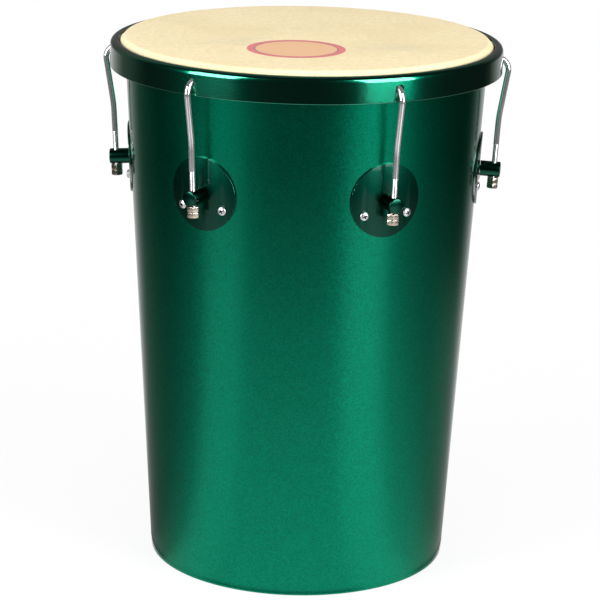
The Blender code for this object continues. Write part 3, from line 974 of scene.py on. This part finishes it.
def make_post_bolts():
    middle = -(SHELL_WALL + INNER_GAP + WASHER_THICKNESS + GAP) - BOLT_HEAD_HEIGHT / 2
    head = hexagon("fine_post_bolt", BOLT_HEAD_FLATS, BOLT_HEAD_HEIGHT)
    head.transform(Matrix.Translation((0.0, 0.0, middle)))
    tip = PLATE_FACE + GAP + POST_BOLT_DEPTH - 2 * GAP
    mesh = joined(head, bar("shank", BOLT_RADIUS, middle, tip))
    mesh.materials.append(zinc_steel)
    dress_lugs("post_bolt", mesh, "drum_body", [on_shell(LUG_HEIGHT)])


def make_post_washers():
    top = -(SHELL_WALL + INNER_GAP)
    low = top - WASHER_THICKNESS
    edge = WASHER_THICKNESS / 5
    outline = [(WASHER_RADIUS - edge, top), (WASHER_RADIUS, top - edge),
               (WASHER_RADIUS, low + edge), (WASHER_RADIUS - edge, low),
               (BOLT_HOLE_RADIUS, low), (BOLT_HOLE_RADIUS, top)]
    mesh = turned("fine_post_washer", outline, SMALL_STEPS)
    mesh.materials.append(zinc_steel)
    dress_lugs("post_washer", mesh, "drum_body", [on_shell(LUG_HEIGHT)])


# Floor, background and lights

def seen_directly(tree):
    """1 for camera, glossy and transmission rays, else 0."""
    path = add_node(tree, "ShaderNodeLightPath").outputs
    first = maths(tree, "MAXIMUM", path["Is Camera Ray"], path["Is Glossy Ray"])
    return maths(tree, "MAXIMUM", first, path["Is Transmission Ray"])


def make_floor():
    shape = bmesh.new()
    bmesh.ops.create_grid(shape, x_segments=1, y_segments=1, size=FLOOR_SIZE / 2)
    floor = new_object("floor", mesh_from(shape, "floor"),
                       Matrix.Translation((0.0, 0.0, -FLOOR_DROP)))
    material, tree, shader = new_material("pale_floor")
    set_inputs(tree, shader, {"Base Color": opaque((FLOOR_GREY, FLOOR_GREY, FLOOR_GREY)),
                              "Roughness": 0.9, "Specular IOR Level": 0.0})
    white = add_node(tree, "ShaderNodeEmission", {"Strength": 1.0})
    fade = mapped(tree, length(tree, place_on_object(tree)), FLOOR_FADE_START, FLOOR_FADE_END,
                  FLOOR_GLOW, 1.0)
    show_mix(tree, product(tree, fade, seen_directly(tree)), shader.outputs[0], white.outputs[0])
    floor.data.materials.append(material)


def make_world():
    world = bpy.data.worlds.new("studio")
    world.use_nodes = True
    tree = world.node_tree
    strength = spread(tree, seen_directly(tree), WORLD_FILL, 1.0)
    set_inputs(tree, tree.nodes["Background"],
               {"Color": (1.0, 1.0, 1.0, 1.0), "Strength": strength})
    bpy.context.scene.world = world


def make_lamp(name, degrees, elevation, distance, width, height, power):
    """A soft box round the drum from the front, towards +X, that faces LAMP_AIM."""
    lamp = bpy.data.lights.new(name, "AREA")
    lamp.shape = "RECTANGLE"
    lamp.size = width
    lamp.size_y = height
    lamp.energy = power
    turn = math.radians(degrees)
    rise = math.radians(elevation)
    flat = distance * math.cos(rise)
    offset = Vector((flat * math.sin(turn), -flat * math.cos(turn), distance * math.sin(rise)))
    aim = (-offset).to_track_quat("-Z", "Y").to_matrix().to_4x4()
    lamp_object = new_object(name, lamp, Matrix.Translation(Vector(LAMP_AIM) + offset) @ aim)
    lamp_object.visible_camera = False


def cosine(degrees):
    return math.cos(math.radians(degrees))


def nearness(tree, facing, degrees):
    """The cosine of the turn from degrees round from the front to where a place is."""
    turn = math.radians(degrees)
    values = {0: facing, 1: (math.sin(turn), -math.cos(turn), 0.0)}
    return vector_maths(tree, "DOT_PRODUCT", values, "Value")


def room_cover(tree, away, facing, front):
    """How closed the room is on its floor and low on its wall, from 0 to 1."""
    fade = mapped(tree, away, POOL_EDGE, POOL_END, POOL_SHARE, 0.0)
    pool = product(tree, fade, smooth(tree, away, POOL_EDGE, POOL_FULL))
    weight = mapped(tree, front, cosine(POOL_BACK), cosine(POOL_FRONT), POOL_SIDE, 1.0)
    cover = rest_of(tree, product(tree, pool, weight))
    for degrees, inner, outer, share, near, far, soft in OPENINGS:
        gap = smooth(tree, nearness(tree, facing, degrees), cosine(outer), cosine(inner))
        begun = smooth(tree, away, near - soft, near + soft)
        ended = smooth(tree, away, far - soft, far + soft)
        reach = product(tree, begun, rest_of(tree, ended))
        lit = product(tree, product(tree, gap, share), reach)
        cover = product(tree, cover, rest_of(tree, lit))
    return cover


def make_room():
    """A dark room that only reflections show, open to the white outside at its pool and gaps."""
    outline = [(ROOM_START, FLOOR_DROP), (ROOM_REACH, FLOOR_DROP), (ROOM_REACH, ROOM_HEIGHT),
               (0.0, ROOM_HEIGHT)]
    surround = new_object("surround", turned("surround", outline, SMALL_STEPS, closed=False))
    material, tree, _ = new_material("surround_dark")
    place = place_on_object(tree)
    flat = flattened(tree, place)
    facing = vector_maths(tree, "NORMALIZE", {0: flat})
    front = nearness(tree, facing, POOL_TURN)
    cover = room_cover(tree, length(tree, flat), facing, front)
    height = add_node(tree, "ShaderNodeSeparateXYZ", {0: place}).outputs["Z"]
    cover = maths(tree, "MAXIMUM", cover, smooth(tree, height, OPENING_LOW, OPENING_HIGH))
    behind = smooth(tree, front, cosine(BACK_START), cosine(BACK_FULL))
    glow = add_node(tree, "ShaderNodeEmission",
                    {"Strength": spread(tree, behind, ROOM_GLOW, BACK_GLOW)})
    clear = add_node(tree, "ShaderNodeBsdfTransparent")
    show_mix(tree, cover, clear.outputs[0], glow.outputs[0])
    surround.data.materials.append(material)
    surround.visible_camera = False
    surround.visible_diffuse = False
    surround.visible_shadow = False
    surround.visible_transmission = False


def make_camera():
    camera_data = bpy.data.cameras.new("camera")
    camera_data.sensor_width = SENSOR_WIDTH
    camera_data.lens = FOCAL_PIXELS / FRAME_PIXELS * SENSOR_WIDTH
    camera = new_object("camera", camera_data)
    turn = Matrix.Rotation(math.radians(CAMERA_YAW), 3, "Z")
    turn = turn @ Matrix.Rotation(math.radians(CAMERA_PITCH), 3, "X")
    turn = turn @ Matrix.Rotation(math.radians(CAMERA_ROLL), 3, "Y")
    right, forward, up = turn.col
    camera.matrix_world = (Matrix.Translation(CAMERA_PLACE)
                           @ Matrix((right, up, -forward)).transposed().to_4x4())
    bpy.context.scene.camera = camera


make_camera()
make_shell()
make_hoop()
make_flesh_hoop()
make_drumhead()
make_hook_rods()
make_nuts()
make_lug_plates()
make_lug_posts()
make_plate_screws()
make_post_bolts()
make_post_washers()
make_floor()
make_world()
make_room()
for lamp_settings in LAMPS:
    make_lamp(*lamp_settings)
bpy.context.scene.view_settings.view_transform = "Standard"
